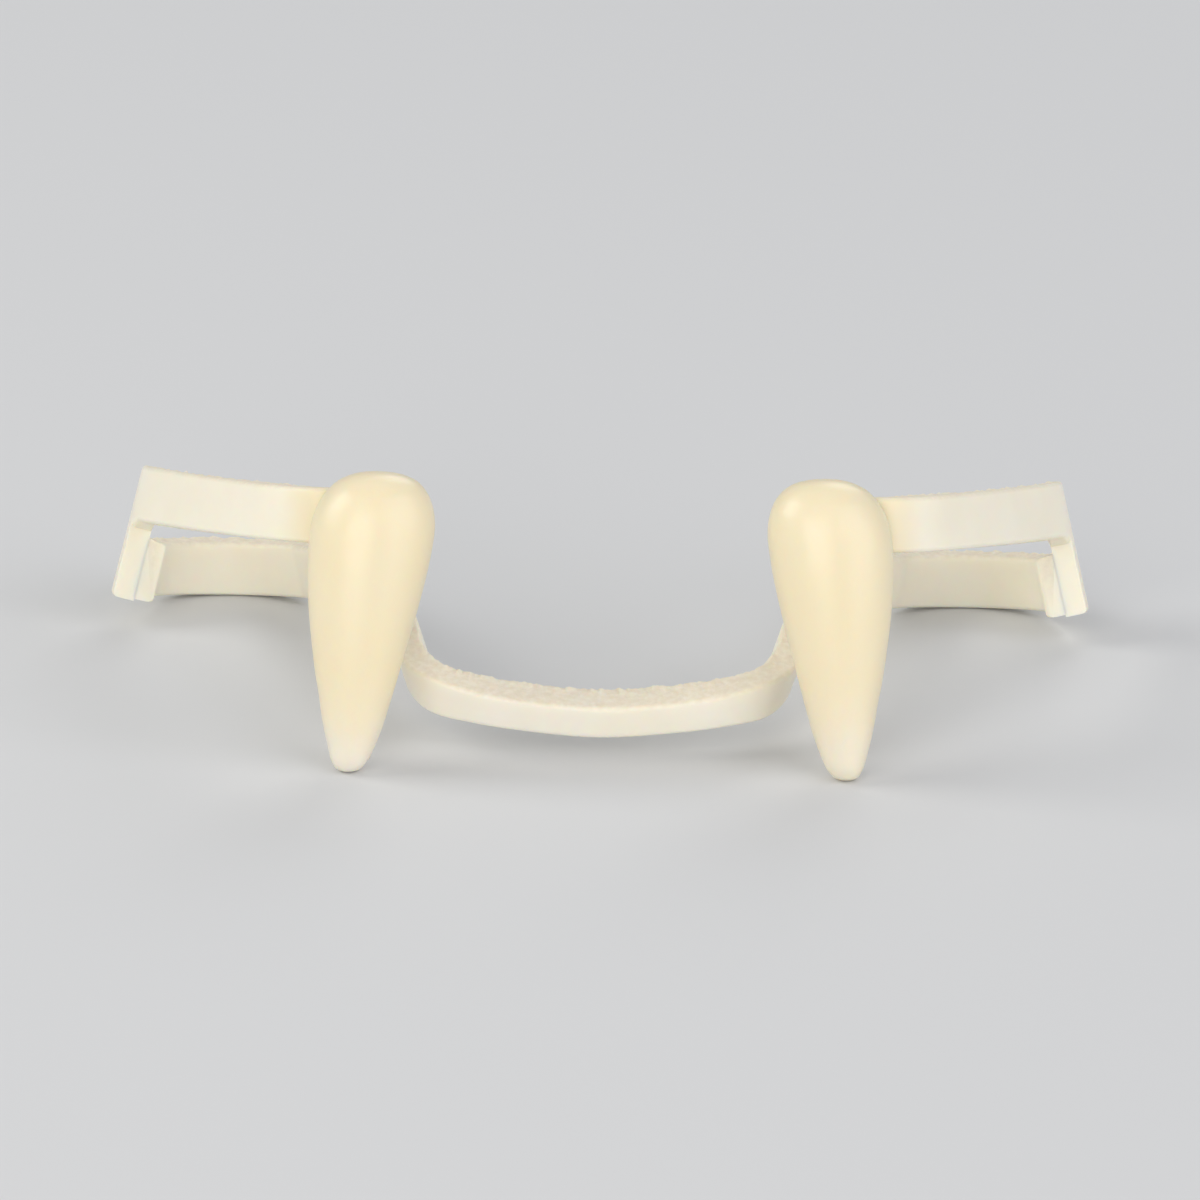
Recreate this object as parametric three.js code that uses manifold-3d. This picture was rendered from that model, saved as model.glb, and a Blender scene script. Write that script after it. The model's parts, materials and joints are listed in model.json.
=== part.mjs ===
// A vampire fang denture for the upper jaw, of moulded cream plastic, in millimetres.
//
// It is drawn upright, as it is worn: the fang tips point down at height 0, the lips are towards -Y and
// the throat is towards +Y. Then it is laid back to rest on a flat surface, on its two fang tips and its
// two molar loops. The left side, at -X, is the mirror of the right one.
import * as THREE from "three";
import { mergeVertices } from "three/addons/utils/BufferGeometryUtils.js";
import Module from "manifold-3d";

// Fangs: teardrops with a bulging root end, a rounded tip and a flat back.
const fangLength = 21.7;
const fangWidth = 8.9;
const fangFront = 3.7; // from the axis to the bulge of the front
const fangBack = 1.8; // from the axis to the flat back
const fangLean = 4.6; // degrees, with the tips further apart than the roots
const tipSpacing = 35.8;

// Arms: flat strips round the cheek side, each ending in an upright web.
const armHeight = 4;
const armThickness = 1.6;
const armBelowRoot = 1.3; // from the root end of the fang down to the arm's top edge
const armFlare = 13.3; // degrees that the web's foot leans out
const archHalfWidth = 34.3; // to the outer face of the arm at its web, on the top edge
const archDepth = 28; // from the fang's axis back to the end of the web
const webDrop = 5.7; // below the arm's lower edge
const webLength = 2.8;

// Tongue bar: a band with a loop behind each last molar and a thicker bar between the fangs.
const bandHeight = 4.1;
const bandThickness = 1.6;
const loopReach = 4.6; // behind the web
const loopWidth = 12.6; // across, between the middles of its two sides
const barRise = 4.3; // from the fang tips up to the middle of the bar
const barSetback = 3.2; // behind the fangs' axes
const barHeight = 2.6;
const barThickness = 2.8;
const barRoll = 28; // degrees that the bar's top face turns towards the lips
const barHalfSpan = 13.1; // to the corner where the bar turns back

const seatGap = 0.12; // between two pieces where one is let into or laid against the other
const letIn = 0.7; // share of the arm's thickness that is let into the fang's back
const padInner = 0.25; // share of fangWidth that the arm's front end reaches past the fang's axis
const edgeRound = 0.35;
const cornerSteps = 3; // facets round each edge of a strip

// The fang's outline from tip to root: height as a share of its length, its inner and outer edge as shares
// of its width, its front bulge as a share of fangFront and its back as a share of fangBack.
const fangSections = [
  { height: 0.002, inner: 0.035, outer: 0.035, front: 0.08, back: 0.14 },
  { height: 0.012, inner: 0.095, outer: 0.095, front: 0.22, back: 0.36 },
  { height: 0.042, inner: 0.15, outer: 0.143, front: 0.35, back: 0.58 },
  { height: 0.097, inner: 0.2, outer: 0.19, front: 0.46, back: 0.76 },
  { height: 0.157, inner: 0.243, outer: 0.235, front: 0.56, back: 0.88 },
  { height: 0.212, inner: 0.272, outer: 0.268, front: 0.63, back: 0.95 },
  { height: 0.272, inner: 0.302, outer: 0.302, front: 0.7, back: 0.99 },
  { height: 0.33, inner: 0.33, outer: 0.34, front: 0.76, back: 1 },
  { height: 0.4, inner: 0.364, outer: 0.376, front: 0.83, back: 1 },
  { height: 0.48, inner: 0.403, outer: 0.415, front: 0.89, back: 1 },
  { height: 0.56, inner: 0.438, outer: 0.448, front: 0.94, back: 1 },
  { height: 0.65, inner: 0.474, outer: 0.474, front: 0.985, back: 1 },
  { height: 0.73, inner: 0.497, outer: 0.488, front: 1, back: 1 },
  { height: 0.81, inner: 0.507, outer: 0.488, front: 0.985, back: 1 },
  { height: 0.87, inner: 0.485, outer: 0.46, front: 0.92, back: 1 },
  { height: 0.92, inner: 0.435, outer: 0.405, front: 0.81, back: 0.95 },
  { height: 0.96, inner: 0.355, outer: 0.325, front: 0.64, back: 0.8 },
  { height: 0.985, inner: 0.25, outer: 0.22, front: 0.45, back: 0.6 },
  { height: 0.997, inner: 0.13, outer: 0.115, front: 0.24, back: 0.32 },
  { height: 1, inner: 0.04, outer: 0.035, front: 0.08, back: 0.12 },
];
const fangRings = 44;
const fangArcSteps = 14; // round the front of each section
const fangFlatShare = 0.7; // of the section's width that stays flat at the back

// The arm's straight front length, as places along it in shares of fangWidth from the fang's axis.
const armStraight = [-padInner, 0.1, 0.3, 0.46];

// The arm's route seen from above, after its straight front length: shares of archHalfWidth and archDepth.
const armRoute = [
  { side: 0.68, back: 0.145 },
  { side: 0.75, back: 0.29 },
  { side: 0.832, back: 0.49 },
  { side: 0.905, back: 0.7 },
];
const armRings = 26;
const webRings = 4;
const webToeIn = 0.12; // sideways share of webLength, as the arch still widens there
const webCornerShare = 0.08; // of webLength, where the lower edge steps down to the foot
const flareFrom = 0.35; // share of the arm's length where it starts to lean out

// The band's route from the middle of the bar to the molar loop: side as a share of barHalfSpan, back as a
// share of the depth from the bar to the loop, rise as a share of the climb from the bar to the loop, and
// its section as shares of the way from the bar's to the loop's.
const bandRoute = [
  { side: 0, back: 0, rise: 0, section: 0 },
  { side: 0.38, back: 0.004, rise: 0.04, section: 0 },
  { side: 0.68, back: 0.016, rise: 0.105, section: 0.1 },
  { side: 0.9, back: 0.055, rise: 0.19, section: 0.36 },
  { side: 1.005, back: 0.125, rise: 0.33, section: 0.5 },
  { side: 1.05, back: 0.22, rise: 0.54, section: 0.62 },
  { side: 1.15, back: 0.41, rise: 0.79, section: 0.85 },
  { side: 1.36, back: 0.66, rise: 0.93, section: 0.97 },
];
const bandRings = 100;
const loopTurns = 5; // points round each molar loop

const wasm = await Module();
wasm.setup();

const radians = THREE.MathUtils.degToRad;
const up = new THREE.Vector3(0, 0, 1);
const armTop = fangLength - armBelowRoot;
const armBottom = armTop - armHeight;
const webBottom = armBottom - webDrop;
const grooveFloor = fangBack - armThickness * letIn;

// One closed body through rings of points that have the same count, with a flat cap at each end.
function loft(rings) {
  const count = rings[0].length;
  const points = rings.flat();
  const faces = [];
  for (let ring = 0; ring + 1 < rings.length; ring++) {
    for (let i = 0; i < count; i++) {
      const a = ring * count + i;
      const b = ring * count + ((i + 1) % count);
      faces.push(a, b, b + count, a, b + count, a + count);
    }
  }
  const last = points.length - count;
  for (let i = 1; i + 1 < count; i++) {
    faces.push(0, i + 1, i);
    faces.push(last, last + i, last + i + 1);
  }
  return new THREE.BufferGeometry().setFromPoints(points).setIndex(faces);
}

// The same body on the other side of the mouth, with its faces turned to point outwards again.
function mirrored(geometry) {
  const copy = geometry.clone().scale(-1, 1, 1);
  const faces = copy.index.array;
  for (let i = 0; i < faces.length; i += 3) {
    [faces[i + 1], faces[i + 2]] = [faces[i + 2], faces[i + 1]];
  }
  return copy;
}

function solidOf(geometry) {
  const bare = new THREE.BufferGeometry();
  bare.setAttribute("position", geometry.getAttribute("position"));
  bare.setIndex(geometry.index);
  const merged = mergeVertices(bare, 1e-4);
  const vertProperties = merged.attributes.position.array;
  const triVerts = new Uint32Array(merged.index.array);
  return new wasm.Manifold(new wasm.Mesh({ numProp: 3, vertProperties, triVerts }));
}

function geometryOf(solid) {
  const { vertProperties, triVerts } = solid.getMesh();
  const geometry = new THREE.BufferGeometry();
  geometry.setAttribute("position", new THREE.BufferAttribute(vertProperties, 3));
  return geometry.setIndex(new THREE.BufferAttribute(triVerts, 1));
}

// A smooth curve through the rows of a table.
function smoothCurve(points) {
  return new THREE.CatmullRomCurve3(points, false, "centripetal");
}

// A strip's section: a rounded rectangle round a centre, rolled about the route. Positive across is to the
// right of the route, and a positive roll lifts that side.
function stripRing({ centre, forward, thickness, height, roll }) {
  const right = new THREE.Vector3().crossVectors(forward, up).normalize();
  const round = Math.min(edgeRound, thickness * 0.4, height * 0.4);
  const corners = [
    [1, 1],
    [-1, 1],
    [-1, -1],
    [1, -1],
  ];
  const ring = [];
  corners.forEach(([sideways, upwards], quarter) => {
    for (let step = 0; step <= cornerSteps; step++) {
      const angle = (quarter + step / cornerSteps) * (Math.PI / 2);
      const across = sideways * (thickness / 2 - round) + round * Math.cos(angle);
      const along = upwards * (height / 2 - round) + round * Math.sin(angle);
      const turned = new THREE.Vector2(across, along).rotateAround(new THREE.Vector2(), roll);
      ring.push(centre.clone().addScaledVector(right, turned.x).addScaledVector(up, turned.y));
    }
  });
  return ring.reverse(); // anticlockwise as seen from ahead, so that the faces point outwards
}

// Fang: the outline's rows stand on an axis that leans, and a groove across the back takes the arm.
function fangBody() {
  const widths = smoothCurve(fangSections.map((row) => new THREE.Vector3(row.height, row.inner, row.outer)));
  const depths = smoothCurve(fangSections.map((row) => new THREE.Vector3(row.height, row.front, row.back)));
  const lean = Math.tan(radians(fangLean));
  const rings = [];
  for (let i = 0; i <= fangRings; i++) {
    const width = widths.getPoint(i / fangRings);
    const depth = depths.getPoint(i / fangRings);
    const height = width.x * fangLength;
    const inner = width.y * fangWidth;
    const outer = width.z * fangWidth;
    const front = depth.y * fangFront;
    const back = Math.min(depth.z, 1) * fangBack;
    const axis = tipSpacing / 2 - height * lean;
    const ring = [];
    for (let step = 0; step <= fangArcSteps; step++) {
      const angle = (step / fangArcSteps) * Math.PI;
      const reach = step * 2 < fangArcSteps ? inner : outer;
      ring.push(new THREE.Vector3(axis - reach * Math.cos(angle), -front * Math.sin(angle), height));
    }
    for (const [side, reach] of [
      [1, outer],
      [-1, inner],
    ]) {
      for (let step = 1; step < 2 * cornerSteps; step++) {
        const angle = ((side > 0 ? step : 2 * cornerSteps - step) / (2 * cornerSteps)) * (Math.PI / 2);
        const across = reach * (fangFlatShare + (1 - fangFlatShare) * Math.cos(angle));
        ring.push(new THREE.Vector3(axis + side * across, back * Math.sin(angle), height));
      }
    }
    rings.push(ring);
  }
  return loft(rings);
}

const fangAxisAtArm = tipSpacing / 2 - (armTop - armHeight / 2) * Math.tan(radians(fangLean));

function rightFang() {
  const start = fangAxisAtArm - padInner * fangWidth - seatGap;
  const end = fangAxisAtArm + fangWidth; // past the fang's outer side, so that the groove is open there
  const groove = new THREE.BoxGeometry(end - start, fangBack, armHeight + 2 * seatGap);
  groove.translate((start + end) / 2, grooveFloor + fangBack / 2, armTop - armHeight / 2);
  return geometryOf(solidOf(fangBody()).subtract(solidOf(groove)));
}

// Arm: its front end lies in the groove, its middle bends round the cheek side, and its end widens into
// the web.
const armStartY = grooveFloor + seatGap + armThickness / 2;
const armEnd = new THREE.Vector3(archHalfWidth - armThickness / 2, archDepth, 0);
const armPoints = [
  ...armStraight.map((share) => new THREE.Vector3(fangAxisAtArm + share * fangWidth, armStartY, 0)),
  ...armRoute.map((row) => new THREE.Vector3(row.side * archHalfWidth, row.back * archDepth, 0)),
  new THREE.Vector3(armEnd.x - webLength * webToeIn, archDepth - webLength, 0),
  armEnd,
];
const armCurve = smoothCurve(armPoints);
const armWebShare = (armPoints.length - 2) / (armPoints.length - 1);
const webForward = new THREE.Vector3().subVectors(armEnd, armPoints.at(-2)).normalize();
const webRight = new THREE.Vector3().crossVectors(webForward, up);

// A point on the web's middle plane, moved sideways by an offset square to the web, at a height above the
// tips.
function besideWeb(point, offset, height) {
  const flare = radians(armFlare);
  const below = (armTop - height + offset * Math.sin(flare)) / Math.cos(flare);
  const sideways = offset * Math.cos(flare) + below * Math.sin(flare);
  return point.clone().addScaledVector(webRight, sideways).setZ(height);
}

function rightArm() {
  const stations = [];
  for (let i = 0; i <= armRings; i++) {
    stations.push({ share: (i / armRings) * armWebShare, bottom: armBottom });
  }
  for (let i = 0; i <= webRings; i++) {
    const alongWeb = Math.max(i / webRings, webCornerShare);
    stations.push({ share: armWebShare + (1 - armWebShare) * alongWeb, bottom: webBottom });
  }
  const rings = stations.map(({ share, bottom }) => {
    const point = armCurve.getPoint(share);
    const forward = share < armWebShare ? armCurve.getTangent(share) : webForward;
    const grown = Math.min(1, share / armWebShare);
    const roll = radians(armFlare) * THREE.MathUtils.smoothstep(grown, flareFrom, 1);
    const height = (armTop - bottom) / Math.cos(roll);
    const right = new THREE.Vector3().crossVectors(forward, up);
    const centre = point.addScaledVector(right, (height / 2) * Math.sin(roll)).setZ((armTop + bottom) / 2);
    return stripRing({ centre, forward, thickness: armThickness, height, roll });
  });
  return loft(rings);
}

// Tongue bar: the right half of the route, from the bar's middle round the loop to the web, and its mirror.
const loopLevel = webBottom + bandHeight / 2;
const lapOffset = -(armThickness / 2 + seatGap + bandThickness / 2);
const lapFront = besideWeb(armPoints.at(-2), lapOffset, loopLevel);
const lapBack = besideWeb(armEnd, lapOffset, loopLevel);
const loopCentre = new THREE.Vector3(lapBack.x - loopWidth / 2, archDepth, loopLevel);

function halfBandRows() {
  const depth = loopCentre.y - barSetback;
  const rows = bandRoute.map((row) => ({
    point: new THREE.Vector3(
      row.side * barHalfSpan,
      barSetback + row.back * depth,
      barRise + row.rise * (loopLevel - barRise),
    ),
    section: row.section,
  }));
  for (let i = 0; i < loopTurns; i++) {
    const angle = Math.PI * (1 - i / loopTurns);
    const point = new THREE.Vector3(
      loopCentre.x + (loopWidth / 2) * Math.cos(angle),
      loopCentre.y + loopReach * Math.sin(angle),
      loopLevel,
    );
    rows.push({ point, section: 1 });
  }
  rows.push({ point: lapBack, section: 1 });
  rows.push({ point: lapFront, section: 1 });
  return rows;
}

function bandBody() {
  const half = halfBandRows();
  const other = half.slice(1).reverse().map((row) => ({
    point: row.point.clone().multiply(new THREE.Vector3(-1, 1, 1)),
    section: row.section,
  }));
  const rows = [...other, ...half];
  const route = smoothCurve(rows.map((row) => row.point));
  const sections = smoothCurve(rows.map((row, i) => new THREE.Vector3(i, row.section, 0)));
  const rings = [];
  for (let i = 0; i <= bandRings; i++) {
    const share = i / bandRings;
    const section = THREE.MathUtils.clamp(sections.getPoint(share).y, 0, 1);
    rings.push(
      stripRing({
        centre: route.getPoint(share),
        forward: route.getTangent(share),
        thickness: THREE.MathUtils.lerp(barThickness, bandThickness, section),
        height: THREE.MathUtils.lerp(barHeight, bandHeight, section),
        roll: -radians(THREE.MathUtils.lerp(barRoll, armFlare, section)),
      }),
    );
  }
  return loft(rings);
}

// Plastics: a deep cream for the solid fangs and a paler one for the thin strips.
function plastic(color) {
  return new THREE.MeshStandardMaterial({ color, roughness: 0.35, metalness: 0 });
}

function piece(name, geometry, color) {
  geometry.computeVertexNormals();
  const mesh = new THREE.Mesh(geometry, plastic(color));
  mesh.name = name;
  return mesh;
}

const fangCream = "#f7e9c5";
const stripCream = "#eee7d4";
const fang = rightFang();
const arm = rightArm();
const upright = new THREE.Group();
upright.add(piece("right_fang", fang, fangCream));
upright.add(piece("left_fang", mirrored(fang), fangCream));
upright.add(piece("right_arm", arm, stripCream));
upright.add(piece("left_arm", mirrored(arm), stripCream));
upright.add(piece("tongue_bar", bandBody(), stripCream));

// How far a mesh's lowest point is below the tilt axis once the denture is laid back by an angle.
function lowestPoint(mesh, angle) {
  const position = mesh.geometry.getAttribute("position");
  let lowest = Infinity;
  for (let i = 0; i < position.count; i++) {
    const height = position.getZ(i) * Math.cos(angle) - position.getY(i) * Math.sin(angle);
    lowest = Math.min(lowest, height);
  }
  return lowest;
}

// The angle at which the fang tips and the molar loops stand level.
function restAngle() {
  const frontPiece = upright.getObjectByName("right_fang");
  const backPiece = upright.getObjectByName("tongue_bar");
  let low = 0;
  let high = Math.PI / 2;
  for (let step = 0; step < 40; step++) {
    const middle = (low + high) / 2;
    if (lowestPoint(backPiece, middle) > lowestPoint(frontPiece, middle)) low = middle;
    else high = middle;
  }
  return low;
}

// Laid back on the surface, with the middle of its footprint at the origin.
upright.rotation.x = -restAngle();
const denture = new THREE.Group();
denture.add(upright);
denture.updateMatrixWorld(true);
const extent = new THREE.Box3().setFromObject(denture, true);
const middle = extent.getCenter(new THREE.Vector3());
upright.position.set(-middle.x, -middle.y, -extent.min.z);

export default denture;
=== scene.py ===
import json
import math

import bpy
import numpy as np
from mathutils import Euler, Matrix, Vector


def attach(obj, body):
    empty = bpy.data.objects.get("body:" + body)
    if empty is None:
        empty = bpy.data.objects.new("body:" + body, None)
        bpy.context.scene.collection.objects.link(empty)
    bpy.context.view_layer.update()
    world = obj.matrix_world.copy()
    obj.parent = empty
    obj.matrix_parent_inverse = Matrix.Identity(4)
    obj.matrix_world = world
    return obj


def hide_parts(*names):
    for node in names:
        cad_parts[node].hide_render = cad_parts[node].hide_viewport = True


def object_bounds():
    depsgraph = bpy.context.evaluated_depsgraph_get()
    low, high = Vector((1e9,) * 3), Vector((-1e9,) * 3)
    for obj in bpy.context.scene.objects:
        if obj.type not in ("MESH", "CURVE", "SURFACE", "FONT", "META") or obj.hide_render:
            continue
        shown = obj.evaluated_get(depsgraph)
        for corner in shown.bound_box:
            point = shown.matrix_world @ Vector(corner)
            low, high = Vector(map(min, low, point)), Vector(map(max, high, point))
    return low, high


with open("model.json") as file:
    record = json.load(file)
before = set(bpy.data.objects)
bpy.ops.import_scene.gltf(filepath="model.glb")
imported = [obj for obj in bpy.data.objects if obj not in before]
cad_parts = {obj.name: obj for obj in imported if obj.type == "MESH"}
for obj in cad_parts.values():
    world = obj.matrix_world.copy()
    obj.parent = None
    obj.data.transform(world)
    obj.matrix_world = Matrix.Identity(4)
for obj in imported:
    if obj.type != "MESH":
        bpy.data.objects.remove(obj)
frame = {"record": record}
cad_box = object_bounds()

# How the denture lies: on its two fang tips and its two molar loops. Its pieces are drawn upright, as they
# are worn, with the fang tips at height 0, the lips towards -Y and the throat towards +Y, and are then laid
# back. The flat back of the right fang, whose place the record gives, says by how much and where.
MM = 0.001
FANG_BACK = 1.8 * MM
SEAT_HEIGHT = 12.6 * MM
seat = next(m for m in frame["record"]["mounts"] if m["name"] == "right_canine_seat")
laid_back = -math.atan2(-seat["axis"][2], seat["axis"][1])
turn = Euler((laid_back, 0, 0))
upright_seat = Vector((seat["pos_m"][0], FANG_BACK, SEAT_HEIGHT))
shift = Vector(seat["pos_m"]) - turn.to_matrix() @ upright_seat
lay = Matrix.LocRotScale(shift, turn, None)

# The camera looks at the fangs from straight in front and from a little above. It is tipped slightly, so
# that the denture's right side hangs lower.
EYE_DISTANCE = 0.7
EYE_HEIGHT = 0.0554
AIM_FORWARD = 5 * MM
AIM_HEIGHT = 0.42
FRAME_WIDTH = 0.086
SENSOR = 36.0
TIPPED = 1.0
low, high = cad_box
aim = Vector((0, (low.y + high.y) / 2 - AIM_FORWARD, high.z * AIM_HEIGHT))
camera = bpy.data.objects.new("camera", bpy.data.cameras.new("camera"))
bpy.context.scene.collection.objects.link(camera)
camera.location = lay @ Vector((0, -EYE_DISTANCE, EYE_HEIGHT))
look = (aim - camera.location).to_track_quat("-Z", "Y").to_matrix()
camera.rotation_euler = (look @ Matrix.Rotation(math.radians(TIPPED), 3, "Z")).to_euler()
camera.data.sensor_width = SENSOR
camera.data.lens = SENSOR * EYE_DISTANCE / FRAME_WIDTH
camera.data.clip_start = 0.01
bpy.context.scene.camera = camera


# The floor is a pale matt card, wide enough to fill every view from above it. Its colour is even. Pressed
# pulp gives it a faint grain, which is drawn coarser than the real one so that it shows.
def linear(colour):
    """A colour written as sRGB hex, as the linear colour that a socket takes."""
    channels = [int(colour[i : i + 2], 16) / 255 for i in (1, 3, 5)]
    return [c / 12.92 if c <= 0.04045 else ((c + 0.055) / 1.055) ** 2.4 for c in channels] + [1.0]


def add_node(tree, kind, sockets=None, **settings):
    """Adds a node with its settings. Each socket named takes a value, or the output of another node."""
    node = tree.nodes.new(kind)
    for name, value in settings.items():
        setattr(node, name, value)
    for key, value in (sockets or {}).items():
        if isinstance(value, bpy.types.NodeSocket):
            tree.links.new(value, node.inputs[key])
        else:
            node.inputs[key].default_value = value
    return node


CARD_HALF = 1.6
CARD_GRAIN = 0.7 * MM
card_corners = [(-CARD_HALF, -CARD_HALF, 0), (CARD_HALF, -CARD_HALF, 0)]
card_corners += [(CARD_HALF, CARD_HALF, 0), (-CARD_HALF, CARD_HALF, 0)]
card_mesh = bpy.data.meshes.new("card")
card_mesh.from_pydata(card_corners, [], [(0, 1, 2, 3)])
card = bpy.data.objects.new("card", card_mesh)
bpy.context.scene.collection.objects.link(card)
matt_card = bpy.data.materials.new("matt_card")
matt_card.use_nodes = True
card_tree = matt_card.node_tree
card_shader = card_tree.nodes["Principled BSDF"]
card_shader.inputs["Base Color"].default_value = linear("#d6d7d8")
card_shader.inputs["Roughness"].default_value = 0.85
card_place = add_node(card_tree, "ShaderNodeTexCoord").outputs["Object"]
pulp = add_node(card_tree, "ShaderNodeTexNoise", {"Vector": card_place, "Scale": 1 / CARD_GRAIN})
pressed = {"Height": pulp.outputs[0], "Strength": 0.15, "Distance": 0.02 * MM}
card_tree.links.new(add_node(card_tree, "ShaderNodeBump", pressed).outputs[0], card_shader.inputs["Normal"])
card_mesh.materials.append(matt_card)

# Studio light: a wide soft box in front, to the left, lights the faces, and one low on the left gives the
# fangs their highlight. Those on the right and behind fill the shade, and so does the room.
SOFT_BOXES = {
    "front": {"place": (-0.34, -0.86, 0.42), "width": 0.7, "power": 4.1, "colour": "#fffcf7"},
    "side": {"place": (-0.58, 0.02, 0.42), "width": 0.4, "power": 1.7, "colour": "#fffdf8"},
    "fill": {"place": (0.74, -0.52, 0.5), "width": 1.0, "power": 5.5, "colour": "#fdfcff"},
    "back": {"place": (0.2, 0.6, 0.5), "width": 0.4, "power": 1.0, "colour": "#ffffff"},
}
for name, box in SOFT_BOXES.items():
    lamp = bpy.data.lights.new(name, "AREA")
    lamp.shape = "SQUARE"
    lamp.size = box["width"]
    lamp.energy = box["power"]
    lamp.color = linear(box["colour"])[:3]
    holder = bpy.data.objects.new(name, lamp)
    bpy.context.scene.collection.objects.link(holder)
    holder.location = box["place"]
    holder.rotation_euler = (aim - holder.location).to_track_quat("-Z", "Y").to_euler()
room = bpy.data.worlds.new("room")
bpy.context.scene.world = room
room.use_nodes = True
room.node_tree.nodes["Background"].inputs["Color"].default_value = linear("#f4f6fa")
room.node_tree.nodes["Background"].inputs["Strength"].default_value = 0.38
bpy.context.scene.view_settings.view_transform = "Standard"

# Fangs: two solid teardrops of deep ivory styrene with a bulging root end, a rounded tip and a flat back.
# The two halves of the mould leave a fine line down each side and over the root, and a groove across the
# back takes the end of the arm.
FANG_LENGTH = 21.7 * MM
FANG_WIDTH = 8.9 * MM
FANG_FRONT = 3.7 * MM
FANG_LEAN = math.radians(4.6)
TIP_SPACING = 35.8 * MM
FANG_FLAT = 0.7
FANG_RINGS = 170
FRONT_STEPS = 44
CORNER_STEPS = 12
FLAT_STEPS = 14
MOULD_LINE_HEIGHT = 0.035 * MM
MOULD_LINE_WIDTH = 0.08
ARM_HEIGHT = 4.0 * MM
ARM_THICKNESS = 1.6 * MM
ARM_TOP = FANG_LENGTH - 1.3 * MM
ARM_LET_IN = 0.7
TAB_REACH = 0.25 * FANG_WIDTH
JOINT_GAP = 0.02 * MM
SMOOTH_UP_TO = math.radians(40)
NAMED = "GeometryNodeInputNamedAttribute"

# The outline from tip to root: height as a share of the length, the inner and outer edge as shares of the
# width, the front bulge as a share of FANG_FRONT and the back as a share of FANG_BACK.
FANG_OUTLINE = [
    {"height": 0.002, "inner": 0.035, "outer": 0.035, "front": 0.08, "back": 0.14},
    {"height": 0.012, "inner": 0.095, "outer": 0.095, "front": 0.22, "back": 0.36},
    {"height": 0.042, "inner": 0.15, "outer": 0.143, "front": 0.35, "back": 0.58},
    {"height": 0.097, "inner": 0.2, "outer": 0.19, "front": 0.46, "back": 0.76},
    {"height": 0.157, "inner": 0.243, "outer": 0.235, "front": 0.56, "back": 0.88},
    {"height": 0.212, "inner": 0.272, "outer": 0.268, "front": 0.63, "back": 0.95},
    {"height": 0.272, "inner": 0.302, "outer": 0.302, "front": 0.7, "back": 0.99},
    {"height": 0.33, "inner": 0.33, "outer": 0.34, "front": 0.76, "back": 1},
    {"height": 0.4, "inner": 0.364, "outer": 0.376, "front": 0.83, "back": 1},
    {"height": 0.48, "inner": 0.403, "outer": 0.415, "front": 0.89, "back": 1},
    {"height": 0.56, "inner": 0.438, "outer": 0.448, "front": 0.94, "back": 1},
    {"height": 0.65, "inner": 0.474, "outer": 0.474, "front": 0.985, "back": 1},
    {"height": 0.73, "inner": 0.497, "outer": 0.488, "front": 1, "back": 1},
    {"height": 0.81, "inner": 0.507, "outer": 0.488, "front": 0.985, "back": 1},
    {"height": 0.87, "inner": 0.485, "outer": 0.46, "front": 0.92, "back": 1},
    {"height": 0.92, "inner": 0.435, "outer": 0.405, "front": 0.81, "back": 0.95},
    {"height": 0.96, "inner": 0.355, "outer": 0.325, "front": 0.64, "back": 0.8},
    {"height": 0.985, "inner": 0.25, "outer": 0.22, "front": 0.45, "back": 0.6},
    {"height": 0.997, "inner": 0.13, "outer": 0.115, "front": 0.24, "back": 0.32},
    {"height": 1, "inner": 0.04, "outer": 0.035, "front": 0.08, "back": 0.12},
]


def smooth_through(rows, shares):
    """Points of a smooth curve through rows of numbers, at shares of the way from the first to the last.
    Its pace follows the square root of each gap between rows, so that it doesn't overshoot at a bend."""
    least = 1e-9
    rows = np.asarray(rows, float)
    place = np.clip(np.asarray(shares, float), 0, 1) * (len(rows) - 1)
    first = np.minimum(place.astype(int), len(rows) - 2)
    part = (place - first)[:, None]
    padded = np.vstack([2 * rows[0] - rows[1], rows, 2 * rows[-1] - rows[-2]])
    p0, p1, p2, p3 = (padded[first + i] for i in range(4))
    gaps = [((b - a) ** 2).sum(1, keepdims=True) ** 0.25 for a, b in ((p0, p1), (p1, p2), (p2, p3))]
    d0, d1, d2 = (np.maximum(gap, least) for gap in gaps)
    start = ((p1 - p0) / d0 - (p2 - p0) / (d0 + d1) + (p2 - p1) / d1) * d1
    end = ((p2 - p1) / d1 - (p3 - p1) / (d1 + d2) + (p3 - p2) / d2) * d1
    cubic = 2 * p1 - 2 * p2 + start + end
    square = -3 * p1 + 3 * p2 - 2 * start - end
    return p1 + part * (start + part * (square + part * cubic))


def string_of_points(name, points, closed, carried):
    """A string of points, which carry named numbers and vectors for the tree that skins it."""
    count = len(points)
    edges = [(i, (i + 1) % count) for i in range(count if closed else count - 1)]
    mesh = bpy.data.meshes.new(name)
    mesh.from_pydata([tuple(point) for point in points], edges, [])
    for key, values in carried.items():
        values = np.asarray(values, np.float32)
        if values.ndim == 1:
            mesh.attributes.new(key, "FLOAT", "POINT").data.foreach_set("value", values)
        else:
            mesh.attributes.new(key, "FLOAT_VECTOR", "POINT").data.foreach_set("vector", values.ravel())
    made = bpy.data.objects.new(name, mesh)
    bpy.context.scene.collection.objects.link(made)
    return made


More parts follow.
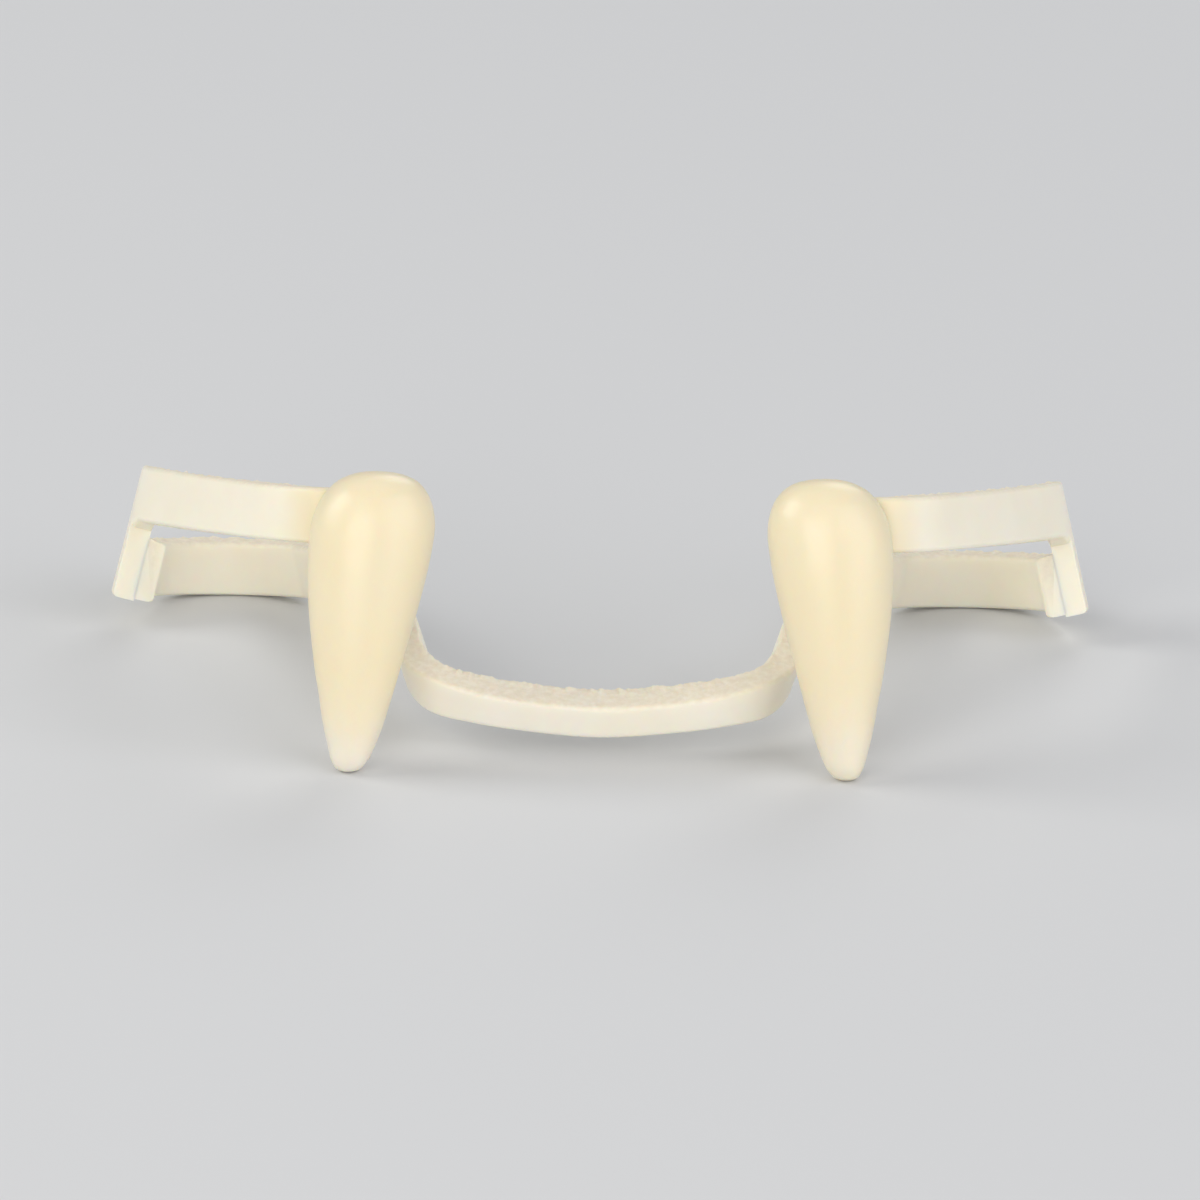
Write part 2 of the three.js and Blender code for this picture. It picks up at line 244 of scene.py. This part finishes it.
def start_tree(name, inputs):
    """A geometry tree that skins a string of points with a section, and has further inputs by name."""
    tree = bpy.data.node_groups.new(name, "GeometryNodeTree")
    tree.interface.new_socket("Geometry", in_out="INPUT", socket_type="NodeSocketGeometry")
    shared = {"Section": "Object", "Turn": "Rotation", "Shift": "Vector", "Plastic": "Material"}
    for label, kind in {**shared, **inputs}.items():
        tree.interface.new_socket(label, in_out="INPUT", socket_type=f"NodeSocket{kind}")
    tree.interface.new_socket("Geometry", in_out="OUTPUT", socket_type="NodeSocketGeometry")
    given = add_node(tree, "NodeGroupInput").outputs
    path = add_node(tree, "GeometryNodeMeshToCurve", {"Mesh": given["Geometry"]})
    section = add_node(tree, "GeometryNodeObjectInfo", {"Object": given["Section"]})
    ring = add_node(tree, "GeometryNodeMeshToCurve", {"Mesh": section.outputs["Geometry"]})
    swept = {"Curve": path.outputs[0], "Profile Curve": ring.outputs[0], "Fill Caps": True}
    return tree, given, add_node(tree, "GeometryNodeCurveToMesh", swept).outputs[0]


def end_tree(tree, given, geometry):
    """Lays the piece back, shades it smooth and gives it its plastic."""
    laid = {"Geometry": geometry, "Translation": given["Shift"], "Rotation": given["Turn"]}
    laid = add_node(tree, "GeometryNodeTransform", laid).outputs[0]
    smooth = add_node(tree, "GeometryNodeSetShadeSmooth", {"Geometry": laid}).outputs[0]
    real = add_node(tree, "GeometryNodeRealizeInstances", {"Geometry": smooth}).outputs[0]
    coated = add_node(tree, "GeometryNodeSetMaterial", {"Geometry": real, "Material": given["Plastic"]})
    add_node(tree, "NodeGroupOutput", {"Geometry": coated.outputs[0]})


def grown_piece(name, path, tree, values):
    """Runs a tree on a string of points, and gives back the result as a plain piece."""
    values = {"Turn": turn, "Shift": shift, **values}
    growth = path.modifiers.new("growth", "NODES")
    growth.node_group = tree
    for item in tree.interface.items_tree:
        if item.in_out == "INPUT" and item.name in values:
            growth[item.identifier] = values[item.name]
    evaluated = path.evaluated_get(bpy.context.evaluated_depsgraph_get())
    mesh = bpy.data.meshes.new_from_object(evaluated)
    mesh.name = name
    mesh.set_sharp_from_angle(angle=SMOOTH_UP_TO)
    piece = bpy.data.objects.new(name, mesh)
    bpy.context.scene.collection.objects.link(piece)
    bpy.data.objects.remove(path)
    return piece


def fang_section():
    """The fang's section as shares of its reaches: round in front, flat at the back, soft corners."""
    front = [math.pi * i / FRONT_STEPS for i in range(FRONT_STEPS + 1)]
    corner = [math.pi / 2 * i / CORNER_STEPS for i in range(1, CORNER_STEPS + 1)]
    flat = [FANG_FLAT * (1 - 2 * i / FLAT_STEPS) for i in range(1, FLAT_STEPS)]
    points = [(-math.cos(a), -math.sin(a), 0) for a in front]
    points += [(FANG_FLAT + (1 - FANG_FLAT) * math.cos(a), math.sin(a), 0) for a in corner]
    points += [(x, 1, 0) for x in flat]
    points += [(-FANG_FLAT - (1 - FANG_FLAT) * math.cos(a), math.sin(a), 0) for a in reversed(corner)]
    shares = np.array(points)
    line = np.maximum(0, 1 - np.abs(shares[:, 1]) / MOULD_LINE_WIDTH) * np.sign(shares[:, 0])
    carried = {
        "above": np.maximum(shares, 0),
        "below": np.minimum(shares, 0),
        "mould_line": np.column_stack([line, 0 * line, 0 * line]),
    }
    return string_of_points("fang_section", points, True, carried)


def fang_tree():
    """Grows a fang: its section along its axis, then the mould line, then the groove cut out of its back."""
    sizes = {"Mould line": "Float", "Groove middle": "Vector", "Groove size": "Vector"}
    tree, given, skin = start_tree("fang_from_outline", sizes)
    vector = {"data_type": "FLOAT_VECTOR"}
    names = ["centre", "most", "least", "above", "below", "mould_line"]
    carried = {n: add_node(tree, NAMED, {"Name": n}, **vector).outputs[0] for n in names}
    most = add_node(
        tree,
        "ShaderNodeVectorMath",
        {0: carried["above"], 1: carried["most"], 2: carried["centre"]},
        operation="MULTIPLY_ADD",
    )
    both = add_node(
        tree,
        "ShaderNodeVectorMath",
        {0: carried["below"], 1: carried["least"], 2: most.outputs[0]},
        operation="MULTIPLY_ADD",
    )
    line = add_node(
        tree,
        "ShaderNodeVectorMath",
        {0: carried["mould_line"], "Scale": given["Mould line"]},
        operation="SCALE",
    )
    places = {"Geometry": skin, "Position": both.outputs[0], "Offset": line.outputs[0]}
    shaped = add_node(tree, "GeometryNodeSetPosition", places).outputs[0]
    block = add_node(tree, "GeometryNodeMeshCube", {"Size": given["Groove size"]}).outputs["Mesh"]
    cutter = {"Geometry": block, "Translation": given["Groove middle"]}
    cutter = add_node(tree, "GeometryNodeTransform", cutter).outputs[0]
    parts = {"Mesh 1": shaped, "Mesh 2": cutter}
    cut = add_node(tree, "GeometryNodeMeshBoolean", parts, operation="DIFFERENCE", solver="EXACT")
    end_tree(tree, given, cut.outputs["Mesh"])
    return tree


def ivory_plastic(name, root, tip, fade, cloud, crease_shade, trimmed_top_shade, roughness, depth):
    """Moulded ivory styrene. Light enters it and comes back warm, so thin edges glow and shade is soft.
    The steel of the mould leaves a satin gloss with faint ripples, and the melt a slight cloudiness.
    Its colour deepens from the tip towards the root. Where an arm leaves the fang, its colour is deepened as
    painted shade of the crease between them. Where an edge was trimmed it is matt and grainy, and its colour
    is painted darker with specks: painted shade of the top face, with the grain of the cut."""
    plastic = bpy.data.materials.new(name)
    plastic.use_nodes = True
    tree = plastic.node_tree
    shader = tree.nodes["Principled BSDF"]
    shader.inputs["IOR"].default_value = 1.54
    shader.inputs["Subsurface Weight"].default_value = 0.55
    shader.inputs["Subsurface Radius"].default_value = (1.0, 0.66, 0.36)
    shader.inputs["Subsurface Scale"].default_value = depth
    where = add_node(tree, "ShaderNodeTexCoord").outputs["Object"]

    # The grain left by the steel of the mould is too fine to show, so it is drawn coarser, at 0.16 mm.
    noises = {}
    for what, spacing, detail in (
        ("cloud", 5 * MM, 3),
        ("polish", 2.2 * MM, 4),
        ("ripple", 1.6 * MM, 2),
        ("grain", 0.16 * MM, 2),
        ("speck", 0.45 * MM, 4),
    ):
        sizes = {"Vector": where, "Scale": 1 / spacing, "Detail": detail}
        noises[what] = add_node(tree, "ShaderNodeTexNoise", sizes).outputs[0]
    # Near the fang an arm takes a deeper colour: painted shade of the crease where it leaves the fang.
    near_fang = add_node(tree, "ShaderNodeAttribute", attribute_name="near_fang").outputs["Fac"]
    trimmed = add_node(tree, "ShaderNodeAttribute", attribute_name="trimmed").outputs["Fac"]

    upright = {"Vector": where, "Location": lay.inverted().translation, "Rotation": (-laid_back, 0, 0)}
    upright = add_node(tree, "ShaderNodeMapping", upright).outputs[0]
    height = add_node(tree, "ShaderNodeSeparateXYZ", {"Vector": upright}).outputs["Z"]
    rise = {"Value": height, "From Min": fade[0], "From Max": fade[1]}
    rise = add_node(tree, "ShaderNodeMapRange", rise, interpolation_type="SMOOTHSTEP").outputs[0]
    cloudy = {"Value": noises["cloud"], "From Min": 0.3, "From Max": 0.7, "To Max": 0.4}
    cloudy = add_node(tree, "ShaderNodeMapRange", cloudy).outputs[0]
    specks = {"Value": noises["speck"], "From Min": 0.3, "From Max": 0.65, "To Min": 0.4}
    specks = add_node(tree, "ShaderNodeMapRange", specks).outputs[0]
    # The trimmed top face is painted darker, broken by specks: painted shade of a face that light from the
    # front leaves darker, with the grain of the cut.
    trimmed_top_shade_specks = add_node(tree, "ShaderNodeMath", {0: trimmed, 1: specks}, operation="MULTIPLY").outputs[0]
    colour = add_node(tree, "ShaderNodeRGB").outputs[0]
    colour.default_value = linear(tip)
    # The colours mix in turn: root by height, cloudiness, the painted crease shade by the fang, then the
    # painted top-face shade with specks.
    for share, other in ((rise, root), (cloudy, cloud), (near_fang, crease_shade), (trimmed_top_shade_specks, trimmed_top_shade)):
        blend = {0: share, 6: colour, 7: linear(other)}
        colour = add_node(tree, "ShaderNodeMix", blend, data_type="RGBA").outputs[2]
    tree.links.new(colour, shader.inputs["Base Color"])

    gloss = {"Value": noises["polish"], "To Min": roughness - 0.07, "To Max": roughness + 0.07}
    gloss = add_node(tree, "ShaderNodeMapRange", gloss).outputs[0]
    dulled = {0: trimmed, 1: 0.25, 2: gloss}
    dulled = add_node(tree, "ShaderNodeMath", dulled, operation="MULTIPLY_ADD").outputs[0]
    tree.links.new(dulled, shader.inputs["Roughness"])
    wave = {"Height": noises["ripple"], "Strength": 0.22, "Distance": 0.12 * MM}
    wave = add_node(tree, "ShaderNodeBump", wave).outputs[0]
    fine = {"Height": noises["grain"], "Strength": 0.25, "Distance": 0.012 * MM, "Normal": wave}
    fine = add_node(tree, "ShaderNodeBump", fine).outputs[0]
    rough = {"Height": noises["speck"], "Strength": trimmed, "Distance": 0.045 * MM, "Normal": fine}
    tree.links.new(add_node(tree, "ShaderNodeBump", rough).outputs[0], shader.inputs["Normal"])
    return plastic


fang_ivory = ivory_plastic(
    "moulded_deep_ivory_styrene",
    root="#efe3c3",
    tip="#efe9da",
    fade=(0.0, 8 * MM),
    cloud="#f0e1b8",
    # Fangs carry no mask for the painted crease shade or the painted top-face shade, so these two colours
    # don't show on them.
    crease_shade="#f1e4be",
    trimmed_top_shade="#f0dfb4",
    roughness=0.34,
    depth=1.6 * MM,
)
groove_floor = FANG_BACK - ARM_THICKNESS * ARM_LET_IN
arm_middle = ARM_TOP - ARM_HEIGHT / 2
fang_axis_at_arm = TIP_SPACING / 2 - arm_middle * math.tan(FANG_LEAN)
groove_start = fang_axis_at_arm - TAB_REACH - JOINT_GAP
groove_end = fang_axis_at_arm + FANG_WIDTH
shares = np.linspace(0, 1, FANG_RINGS)
widths = smooth_through([[row[key] for key in ("height", "inner", "outer")] for row in FANG_OUTLINE], shares)
depths = smooth_through([[row[key] for key in ("height", "front", "back")] for row in FANG_OUTLINE], shares)
heights = widths[:, 0] * FANG_LENGTH
inner = widths[:, 1] * FANG_WIDTH
outer = widths[:, 2] * FANG_WIDTH
front = depths[:, 1] * FANG_FRONT
back = np.minimum(depths[:, 2], 1) * FANG_BACK
level = np.zeros(FANG_RINGS)
d_section = fang_section()
fang_grower = fang_tree()
for side, hand in (("left", -1), ("right", 1)):
    axis = hand * (TIP_SPACING / 2 - heights * math.tan(FANG_LEAN))
    left, right = (inner, outer) if side == "right" else (outer, inner)
    centres = np.column_stack([axis, level, heights])
    reaches = {
        "centre": centres,
        "most": np.column_stack([right, back, level]),
        "least": np.column_stack([left, front, level]),
    }
    sizes = {
        "Section": d_section,
        "Mould line": MOULD_LINE_HEIGHT,
        "Groove middle": (
            hand * (groove_start + groove_end) / 2,
            groove_floor + FANG_BACK / 2,
            arm_middle,
        ),
        "Groove size": (groove_end - groove_start, FANG_BACK, ARM_HEIGHT + 2 * JOINT_GAP),
        "Plastic": fang_ivory,
    }
    fang_axis = string_of_points(f"{side}_fang_axis", centres, False, reaches)
    fang = grown_piece(f"{side}_fang_shell", fang_axis, fang_grower, sizes)
    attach(fang, "root")
    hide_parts(f"{side}_fang")
bpy.data.objects.remove(d_section)

# Arms: flat strips of paler ivory, moulded thin. Each leaves the groove in the fang's back, bends round the
# cheek side and ends in an upright web. Their top edge was trimmed by hand, which leaves it slightly ragged.
# The seed is fixed, so that every run draws the same ragged edge.
FLARE = math.radians(13.3)
FLARE_FROM = 0.35
ARCH_HALF_WIDTH = 34.3 * MM
ARCH_DEPTH = 28 * MM
WEB_DROP = 5.7 * MM
WEB_LENGTH = 2.8 * MM
WEB_TOE_IN = 0.12
WEB_FILLET = 0.5 * MM
WEB_RINGS = 22
WEB_FIRST = 0.0002
WEB_SECOND = 0.004
FILLET_RINGS = 10
EDGE_ROUND = 0.35 * MM
END_ROUND = 0.3 * MM
END_DRAWN_IN = 0.8
RING_SPACING = 0.13 * MM
MEASURED_AT = 4001
TAB_LENGTH = 6 * MM
CREASE_SHADE_REACH = 3.0 * MM
SEAM_ROUND = 0.05 * MM
FLASH_HEIGHT = 0.28 * MM
FLASH_SPACING = 0.6 * MM
FLASH_ACROSS = 0.55
FLASH_FROM = 0.42
FLASH_FULL = 0.75
FLASH_SEED = 3.0

# The arm's route: along the back of the fang as shares of its width, then across and back as shares of the
# arch's half width and depth.
ARM_STRAIGHT = [-TAB_REACH / FANG_WIDTH, 0.1, 0.3, 0.46]
ARM_ROUTE = [(0.68, 0.145), (0.75, 0.29), (0.832, 0.49), (0.905, 0.7)]


def strip_section(arc_steps=6, face_steps=8):
    """A rounded rectangle: for each point its corner, its place on that corner's arc, and what is trimmed.
    The tree sets where each point lies. Here the points of an arc are only spread, so that none coincide."""
    spread = 0.3
    ways = [(1, 1), (-1, 1), (-1, -1), (1, -1)]
    corner = []
    arc = []
    for quarter, (x, y) in enumerate(ways):
        angles = [(quarter + step / arc_steps) * math.pi / 2 for step in range(arc_steps + 1)]
        corner += [(x, y, 0)] * len(angles)
        arc += [(math.cos(a), math.sin(a), 0) for a in angles]
        ahead_x, ahead_y = ways[(quarter + 1) % 4]
        for part in (step / face_steps for step in range(1, face_steps)):
            corner.append((x + (ahead_x - x) * part, y + (ahead_y - y) * part, 0))
            arc.append(arc[-1])
    corner = np.array(corner[::-1])
    arc = np.array(arc[::-1])
    # The top face is trimmed: it is rougher and grainier, and its colour carries painted shade.
    top = np.where(corner[:, 1] > 0.99, np.maximum(arc[:, 1], 0), 0)
    flash = np.maximum(top - FLASH_ACROSS * (corner[:, 0] + 1), 0)
    carried = {
        "corner": corner,
        "arc": arc,
        "trimmed": top,
        "inner_side": np.maximum(0, -corner[:, 0]),
        "flash": np.column_stack([0 * flash, 0 * flash, flash]),
    }
    return string_of_points("strip_section", corner + spread * arc, True, carried)


def strip_tree():
    """Grows a strip: its section along its route, with tighter corners at a seam, then its ragged edge."""
    sizes = ["Edge round", "Seam round", "Flash height", "Flash spacing", "Seed"]
    tree, given, skin = start_tree("strip_along_route", dict.fromkeys(sizes, "Float"))
    vector = {"data_type": "FLOAT_VECTOR"}
    names = ["centre", "half", "across", "along", "corner", "arc", "flash"]
    carried = {n: add_node(tree, NAMED, {"Name": n}, **vector).outputs[0] for n in names}
    names = ["ragged", "joined", "inner_side"]
    carried.update({n: add_node(tree, NAMED, {"Name": n}).outputs[0] for n in names})
    seam = {0: carried["joined"], 1: carried["inner_side"]}
    seam = add_node(tree, "ShaderNodeMath", seam, operation="MULTIPLY").outputs[0]
    rounding = {"Value": seam, "To Min": given["Edge round"], "To Max": given["Seam round"]}
    rounding = add_node(tree, "ShaderNodeMapRange", rounding).outputs[0]
    straight = add_node(
        tree,
        "ShaderNodeVectorMath",
        {0: carried["half"], 1: rounding},
        operation="SUBTRACT",
    )
    bend = add_node(
        tree,
        "ShaderNodeVectorMath",
        {0: carried["arc"], "Scale": rounding},
        operation="SCALE",
    )
    flat = add_node(
        tree,
        "ShaderNodeVectorMath",
        {0: carried["corner"], 1: straight.outputs[0], 2: bend.outputs[0]},
        operation="MULTIPLY_ADD",
    )
    reach = add_node(tree, "ShaderNodeSeparateXYZ", {"Vector": flat.outputs[0]}).outputs
    place = carried["centre"]
    for way, size in (("across", reach["X"]), ("along", reach["Y"])):
        step = {0: carried[way], "Scale": size}
        step = add_node(tree, "ShaderNodeVectorMath", step, operation="SCALE").outputs[0]
        place = add_node(tree, "ShaderNodeVectorMath", {0: place, 1: step}, operation="ADD").outputs[0]
    shaped = add_node(tree, "GeometryNodeSetPosition", {"Geometry": skin, "Position": place}).outputs[0]
    where = add_node(tree, "GeometryNodeInputPosition").outputs[0]
    per_metre = {0: 1.0, 1: given["Flash spacing"]}
    per_metre = add_node(tree, "ShaderNodeMath", per_metre, operation="DIVIDE").outputs[0]
    torn = {"Vector": where, "W": given["Seed"], "Scale": per_metre, "Detail": 3, "Roughness": 0.6}
    torn = add_node(tree, "ShaderNodeTexNoise", torn, noise_dimensions="4D").outputs[0]
    rise = {"Value": torn, "From Min": FLASH_FROM, "From Max": FLASH_FULL, "To Max": given["Flash height"]}
    rise = add_node(tree, "ShaderNodeMapRange", rise).outputs[0]
    rise = {0: rise, 1: carried["ragged"]}
    rise = add_node(tree, "ShaderNodeMath", rise, operation="MULTIPLY").outputs[0]
    lifted = {0: carried["flash"], "Scale": rise}
    lifted = add_node(tree, "ShaderNodeVectorMath", lifted, operation="SCALE").outputs[0]
    edged = add_node(tree, "GeometryNodeSetPosition", {"Geometry": shaped, "Offset": lifted}).outputs[0]
    end_tree(tree, given, edged)
    return tree


def even_shares(points, last=1.0):
    """Shares along a smooth curve through points, up to the last, that lie the ring spacing apart."""
    shares = np.linspace(0, last, MEASURED_AT)
    steps = np.linalg.norm(np.diff(smooth_through(points, shares), axis=0), axis=1)
    walked = np.concatenate([[0], np.cumsum(steps)])
    count = int(math.ceil(walked[-1] / RING_SPACING)) + 1
    return np.interp(np.linspace(0, walked[-1], count), walked, shares)


def headings(points, shares):
    """The direction of travel along a smooth curve through points, at shares of the way."""
    step = 1e-4
    return smooth_through(points, np.clip(shares + step, 0, 1)) - smooth_through(points, shares - step)


def to_the_right(ways):
    """The level direction to the right of each direction of travel."""
    right = np.column_stack([ways[:, 1], -ways[:, 0], np.zeros(len(ways))])
    return right / np.linalg.norm(right, axis=1, keepdims=True)


def to_nearer_end(points):
    """How far each ring of a strip lies from the nearer of its two ends."""
    return np.minimum(*(np.linalg.norm(points - end, axis=1) for end in (points[0], points[-1])))


def rounded_ends(points):
    """How far each ring of a strip draws in, so that both its ends are rounded."""
    curl = np.clip(1 - to_nearer_end(points) / END_ROUND, 0, 1)
    return END_DRAWN_IN * END_ROUND * (1 - np.sqrt(1 - curl * curl))


def strip_piece(name, centres, rights, rolls, thicks, talls, near_fang, joined, hand=1):
    """Skins a strip's rings. The other hand is its mirror, walked backwards so that it faces outwards."""
    mirror = np.array([hand, 1, 1])
    order = slice(None, None, hand)
    up = np.array([0, 0, 1])
    cos = np.cos(rolls)[:, None]
    sin = np.sin(rolls)[:, None]
    rings = {
        "centre": (centres * mirror)[order],
        "across": ((rights * cos + up * sin) * mirror)[order],
        "along": ((up * cos - rights * sin) * mirror)[order],
        "half": np.column_stack([thicks / 2, talls / 2, 0 * talls])[order],
        # near_fang carries the painted shade of the crease by the fang, and keeps the ragged edge away from
        # there.
        "near_fang": near_fang[order],
        "ragged": 1 - near_fang[order],
        "joined": joined[order],
    }
    sizes = {
        "Section": rounded_section,
        "Edge round": EDGE_ROUND,
        "Seam round": SEAM_ROUND,
        "Flash height": FLASH_HEIGHT,
        "Flash spacing": FLASH_SPACING,
        "Seed": FLASH_SEED,
        "Plastic": strip_ivory,
    }
    route = string_of_points(f"{name}_route", rings["centre"], False, rings)
    strip = grown_piece(f"{name}_strip", route, strip_grower, sizes)
    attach(strip, "root")
    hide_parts(name)


strip_ivory = ivory_plastic(
    "moulded_pale_ivory_styrene",
    root="#f7f1df",
    tip="#f5f0e3",
    fade=(4 * MM, 14 * MM),
    cloud="#f0e8cf",
    # Painted shade of the crease where the arm leaves the fang.
    crease_shade="#efe3c2",
    trimmed_top_shade="#e6dcc6",
    # Painted shade of the trimmed top face, with specks.
    roughness=0.38,
    depth=0.8 * MM,
)
rounded_section = strip_section()
strip_grower = strip_tree()
arm_bottom = ARM_TOP - ARM_HEIGHT
web_bottom = arm_bottom - WEB_DROP
arm_start_y = groove_floor + JOINT_GAP + ARM_THICKNESS / 2
arm_end_x = ARCH_HALF_WIDTH - ARM_THICKNESS / 2
arm_points = [(fang_axis_at_arm + share * FANG_WIDTH, arm_start_y, 0) for share in ARM_STRAIGHT]
arm_points += [(across * ARCH_HALF_WIDTH, back * ARCH_DEPTH, 0) for across, back in ARM_ROUTE]
arm_points.append((arm_end_x - WEB_LENGTH * WEB_TOE_IN, ARCH_DEPTH - WEB_LENGTH, 0))
arm_points.append((arm_end_x, ARCH_DEPTH, 0))
arm_points = np.array(arm_points)
web_ahead = arm_points[-1] - arm_points[-2]
web_length = np.linalg.norm(web_ahead)
web_share = (len(arm_points) - 2) / (len(arm_points) - 1)

# The rings of an arm: even ones, then close ones round the fillet over the opening, then the web's. The
# web's first ring follows the fillet's last at once, so that the web's front edge stands upright.
bends = np.linspace(0, math.pi / 2, FILLET_RINGS)
fillet_shares = web_share - (1 - web_share) * WEB_FILLET / web_length * np.cos(bends)
plain_shares = even_shares(arm_points, web_share)
plain_shares = plain_shares[plain_shares < fillet_shares[0]]
web_shares = np.linspace(web_share + WEB_SECOND, 1, WEB_RINGS)
web_shares = np.concatenate([[web_share + WEB_FIRST], web_shares])
arm_shares = np.concatenate([plain_shares, fillet_shares, web_shares])
bottoms = np.concatenate(
    [
        np.full(len(plain_shares), arm_bottom),
        arm_bottom - WEB_FILLET * (1 - np.cos(bends)),
        np.full(len(web_shares), web_bottom),
    ]
)
arm_route = smooth_through(arm_points, arm_shares)
arm_rights = headings(arm_points, arm_shares)
arm_rights[arm_shares >= web_share] = web_ahead
arm_rights = to_the_right(arm_rights)
flaring = np.clip((np.minimum(arm_shares / web_share, 1) - FLARE_FROM) / (1 - FLARE_FROM), 0, 1)
arm_rolls = FLARE * flaring * flaring * (3 - 2 * flaring)
talls = (ARM_TOP - bottoms) / np.cos(arm_rolls)
arm_centres = arm_route + arm_rights * (talls / 2 * np.sin(arm_rolls))[:, None]
arm_centres[:, 2] = (ARM_TOP + bottoms) / 2
drawn_in = rounded_ends(arm_route)
# Past the tab, the painted shade of the crease by the fang fades out over a short reach, and the ragged edge
# begins.
paling = np.clip((np.linalg.norm(arm_route - arm_route[0], axis=1) - TAB_LENGTH) / CREASE_SHADE_REACH, 0, 1)
for side, hand in (("left", -1), ("right", 1)):
    strip_piece(
        f"{side}_arm",
        centres=arm_centres,
        rights=arm_rights,
        rolls=arm_rolls,
        thicks=ARM_THICKNESS - 2 * drawn_in,
        talls=talls - 2 * drawn_in,
        near_fang=1 - paling * paling * (3 - 2 * paling),
        joined=np.interp(arm_shares, (fillet_shares[0], web_share), (0, 1)),
        hand=hand,
    )

# Tongue bar: a pale ivory band that is fused to the tongue side of each web, turns round behind the last
# molar and runs forward on the tongue side, where it thickens into the bar that the tongue presses. It is
# moulded and trimmed as the arms are.
BAND_HEIGHT = 4.1 * MM
BAND_THICKNESS = 1.6 * MM
LOOP_REACH = 4.6 * MM
LOOP_WIDTH = 12.6 * MM
LOOP_TURNS = 5
BAR_RISE = 4.3 * MM
BAR_SETBACK = 3.2 * MM
BAR_HEIGHT = 2.6 * MM
BAR_THICKNESS = 2.8 * MM
BAR_ROLL = math.radians(28)
BAR_HALF_SPAN = 13.1 * MM
FUSED = 0.15 * MM
LAP_SHORT = 0.02 * MM
LAP_TALLER = 0.4 * MM
SEAM_FADE = 1.2 * MM

# Half of the bar's route, from its middle outwards: to the side as a share of BAR_HALF_SPAN, back and up as
# shares of the way to the loop, and how far its section has turned into the band's.
BAND_ROUTE = [
    {"side": 0, "back": 0, "rise": 0, "section": 0},
    {"side": 0.38, "back": 0.004, "rise": 0.04, "section": 0},
    {"side": 0.68, "back": 0.016, "rise": 0.105, "section": 0.1},
    {"side": 0.9, "back": 0.055, "rise": 0.19, "section": 0.36},
    {"side": 1.005, "back": 0.125, "rise": 0.33, "section": 0.5},
    {"side": 1.05, "back": 0.22, "rise": 0.54, "section": 0.62},
    {"side": 1.15, "back": 0.41, "rise": 0.79, "section": 0.85},
    {"side": 1.36, "back": 0.66, "rise": 0.93, "section": 0.97},
]
loop_level = web_bottom + BAND_HEIGHT / 2
lap_offset = -(ARM_THICKNESS / 2 - FUSED + BAND_THICKNESS / 2)
below_top = (ARM_TOP - loop_level + lap_offset * math.sin(FLARE)) / math.cos(FLARE)
lap_sideways = lap_offset * math.cos(FLARE) + below_top * math.sin(FLARE)
beside_web = to_the_right(web_ahead[None])[0] * lap_sideways
lap_back = arm_points[-1] + beside_web
lap_front = arm_points[-2] + web_ahead * LAP_SHORT / web_length + beside_web
band_depth = ARCH_DEPTH - BAR_SETBACK
half_rows = [
    (
        row["side"] * BAR_HALF_SPAN,
        BAR_SETBACK + row["back"] * band_depth,
        BAR_RISE + row["rise"] * (loop_level - BAR_RISE),
        row["section"],
    )
    for row in BAND_ROUTE
]
for turned in (math.pi * (1 - step / LOOP_TURNS) for step in range(LOOP_TURNS)):
    across = lap_back[0] - LOOP_WIDTH / 2 * (1 - math.cos(turned))
    half_rows.append((across, ARCH_DEPTH + LOOP_REACH * math.sin(turned), loop_level, 1))
half_rows += [(lap[0], lap[1], loop_level, 1) for lap in (lap_back, lap_front)]
band_rows = np.array([(-x, y, z, s) for x, y, z, s in reversed(half_rows[1:])] + half_rows)
band_points = band_rows[:, :3]
band_shares = even_shares(band_points)
sections = np.column_stack([np.arange(len(band_rows)), band_rows[:, 3]])
thinned = np.clip(smooth_through(sections, band_shares)[:, 1], 0, 1)
band_centres = smooth_through(band_points, band_shares)
band_rights = to_the_right(headings(band_points, band_shares))
drawn_in = rounded_ends(band_centres)
past_lap = to_nearer_end(band_centres) - np.linalg.norm(lap_back - lap_front)
on_lap = np.clip(1 - past_lap / SEAM_FADE, 0, 1)
strip_piece(
    "tongue_bar",
    centres=band_centres - band_rights * (drawn_in / 2)[:, None],
    rights=band_rights,
    rolls=-(BAR_ROLL + (FLARE - BAR_ROLL) * thinned),
    thicks=BAR_THICKNESS + (BAND_THICKNESS - BAR_THICKNESS) * thinned - drawn_in,
    talls=BAR_HEIGHT + (BAND_HEIGHT - BAR_HEIGHT) * thinned + LAP_TALLER * on_lap,
    near_fang=np.zeros(len(band_centres)),
    joined=on_lap,
)
bpy.data.objects.remove(rounded_section)
